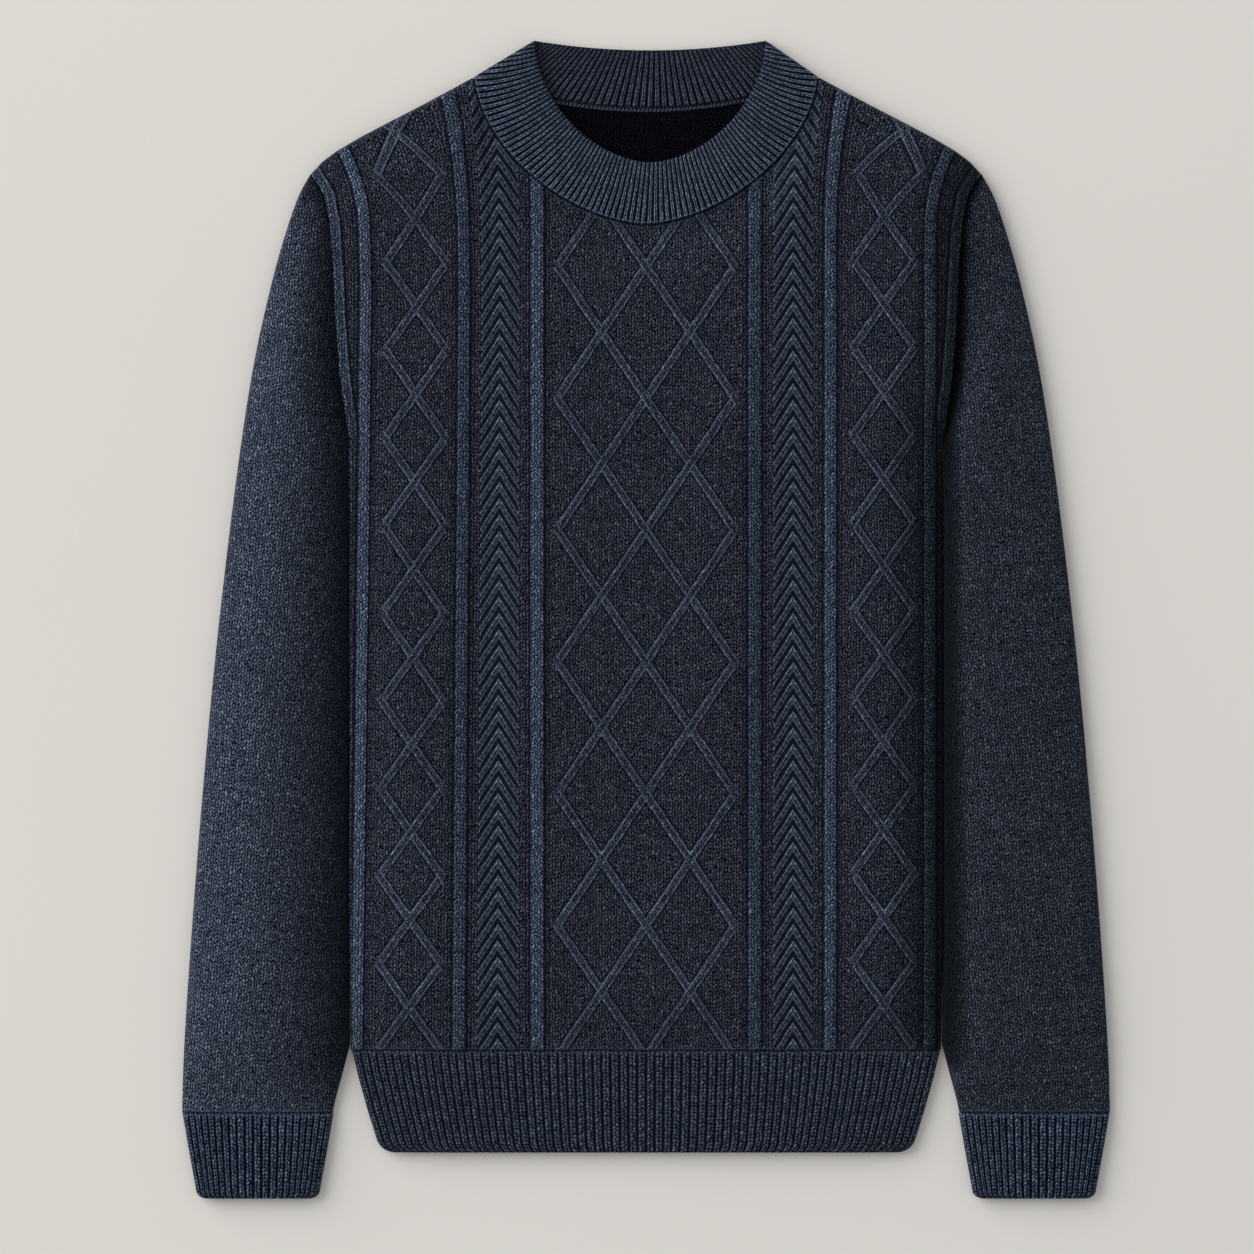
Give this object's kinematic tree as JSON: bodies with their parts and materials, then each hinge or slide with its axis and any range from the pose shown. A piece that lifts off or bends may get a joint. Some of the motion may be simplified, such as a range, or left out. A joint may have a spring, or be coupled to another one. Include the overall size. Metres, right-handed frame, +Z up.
{
  "type": "cable knit sweater, laid flat",
  "caption": "Long-sleeved crew-neck knitted sweater with raised lattice, chevron and rib columns and ribbed neck, hem and cuffs, laid flat on its back.",
  "frame": {"origin": "bottom centre of the laid garment's bounding box, on the surface it lies on", "axes": "+Y from the hem to the neck, +Z up out of the front, +X to the right of a person who looks down at the front"},
  "size_m": [0.6032, 0.7538, 0.0107],
  "materials": {
    "front_knit": "heathered navy knit with raised strands",
    "back_knit": "heathered navy plain knit, in shade",
    "sleeve_knit": "heathered navy plain knit",
    "collar_rib": "heathered navy rib knit",
    "hem_rib": "heathered navy rib knit",
    "cuff_rib": "heathered navy rib knit"
  },
  "bodies": {
    "root": {"back": "back_knit", "front": "front_knit", "collar": "collar_rib", "hem_rib": "hem_rib", "sleeve_left": "sleeve_knit", "sleeve_right": "sleeve_knit", "cuff_left": "cuff_rib", "cuff_right": "cuff_rib"}
  },
  "joints": []
}
